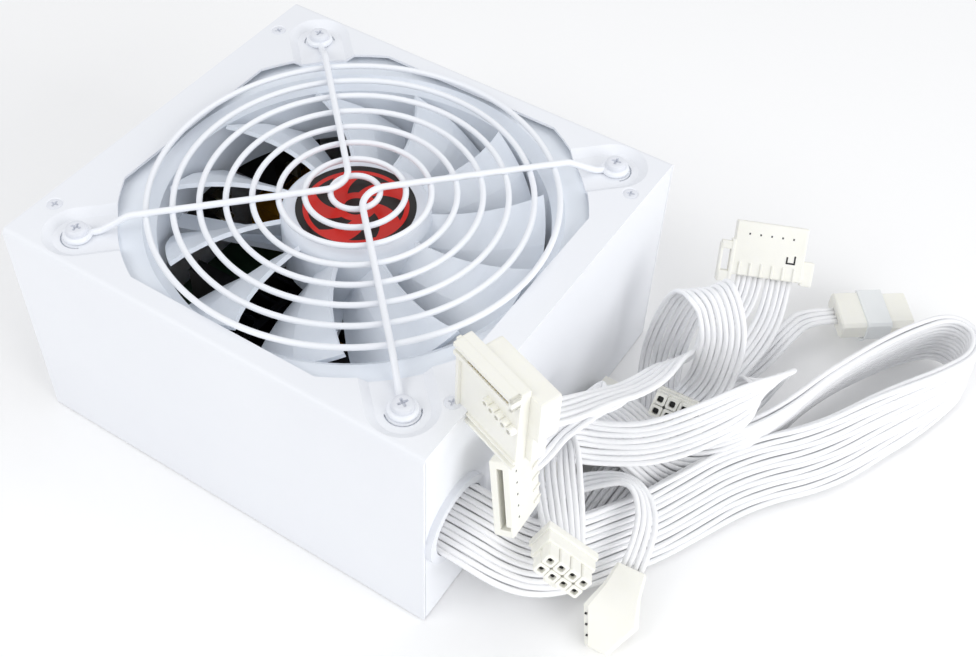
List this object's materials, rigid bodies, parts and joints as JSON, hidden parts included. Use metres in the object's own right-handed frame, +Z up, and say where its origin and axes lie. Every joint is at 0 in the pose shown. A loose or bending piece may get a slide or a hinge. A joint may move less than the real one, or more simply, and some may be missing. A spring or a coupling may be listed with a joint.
{
  "type": "power supply unit",
  "caption": "White desktop power supply: folded steel case, top fan under a wire ring grille, mains inlet and switch behind, white cables with ivory connectors.",
  "frame": {"origin": "centre of the case's underside", "axes": "+Z up towards the fan, +X out of the cable panel, +Y along the width"},
  "size_m": [0.279, 0.213, 0.1072],
  "materials": {
    "case_paint": "satin white powder coat",
    "fan_plastic": "satin pale blue-grey moulding",
    "grille_coat": "satin white",
    "screw_coat": "satin white",
    "sticker": "gloss printed foil",
    "steel": "turned",
    "dark_steel": "dark lacquered laminations",
    "magnet": "bonded magnet strip",
    "black_plastic": "fine grain",
    "brass": "nickel-free contact",
    "white_rubber": "smooth",
    "board": "solder-masked laminate",
    "lining": "translucent sheet",
    "black_heatsink": "black anodised",
    "ferrite": "sintered ferrite",
    "amber_tape": "polyester tape",
    "sleeve_black": "shrunk sleeve",
    "copper": "enamelled copper",
    "wire_white": "soft insulation",
    "connector_ivory": "natural nylon"
  },
  "bodies": {
    "case": {"base_tray": "case_paint", "top_cover": "case_paint", "inlet_housing": "black_plastic", "inlet_pins": "brass", "inlet_screws": "screw_coat", "switch_housing": "black_plastic", "switch_terminals": "brass", "cable_grommet": "white_rubber", "circuit_board": "board", "insulating_sheet": "lining", "board_standoffs": "brass", "board_screws": "steel", "primary_heatsink": "black_heatsink", "secondary_heatsink": "black_heatsink", "power_transistors": "sleeve_black", "main_transformer_core": "ferrite", "main_transformer_winding": "amber_tape", "standby_transformer_core": "ferrite", "standby_transformer_winding": "amber_tape", "bulk_capacitor": "sleeve_black", "output_capacitors": "sleeve_black", "filter_capacitors": "amber_tape", "output_choke": "copper", "filter_choke": "copper", "bridge_rectifier": "black_plastic", "control_board": "board", "fan_frame": "fan_plastic", "fan_stator": "dark_steel", "fan_grille": "grille_coat", "fan_screws": "screw_coat", "cover_screws": "screw_coat", "lead_bundle": "wire_white", "main_cable": "wire_white", "eps_cable": "wire_white", "pcie_cable": "wire_white", "sata_cable": "wire_white", "sata_link": "wire_white", "sata_tail": "wire_white", "drive_cable": "wire_white", "peripheral_cable": "wire_white", "main_connector": "connector_ivory", "eps_connector": "connector_ivory", "pcie_connector": "connector_ivory", "sata_plug_upper": "connector_ivory", "sata_plug_lower": "connector_ivory", "sata_plug_rear": "connector_ivory", "drive_plug_front": "connector_ivory", "drive_plug_rear": "connector_ivory"},
    "rotor": {"fan_rotor": "fan_plastic", "hub_sticker": "sticker", "rotor_shaft": "steel", "rotor_magnet": "magnet"},
    "rocker": {"switch_rocker": "black_plastic"}
  },
  "joints": [
    {"name": "fan_spin", "type": "hinge", "parent": "case", "child": "rotor", "pos_m": [0.002, 0, 0.07], "axis": [0, 0, 1], "continuous": true},
    {"name": "switch_rock", "type": "hinge", "parent": "case", "child": "rocker", "pos_m": [-0.0795, 0.003, 0.046], "axis": [0, 1, 0], "range_deg": [-20, 0]}
  ]
}
